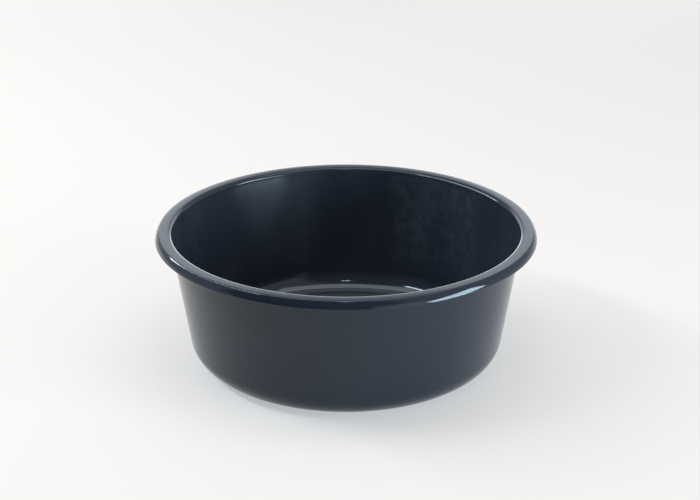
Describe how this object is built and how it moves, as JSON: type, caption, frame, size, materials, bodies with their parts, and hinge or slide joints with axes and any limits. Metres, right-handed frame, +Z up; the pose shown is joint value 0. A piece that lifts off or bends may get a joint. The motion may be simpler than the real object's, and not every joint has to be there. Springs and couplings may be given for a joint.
{
  "type": "mixing tub",
  "caption": "Low round mixing tub with a flat base, large rounded base corner, gently flared wall and a flat, turned-down rim flange.",
  "frame": {"origin": "on the tub's axis, in the plane that its foot ring rests on", "axes": "+Z up along the tub's axis, out of its mouth; X and Y are alike, because the tub is round"},
  "size_m": [0.45, 0.45, 0.162],
  "materials": {
    "tub_plastic": "semi-gloss moulded plastic, near-black blue-grey"
  },
  "bodies": {
    "root": {"tub": "tub_plastic"}
  },
  "joints": []
}
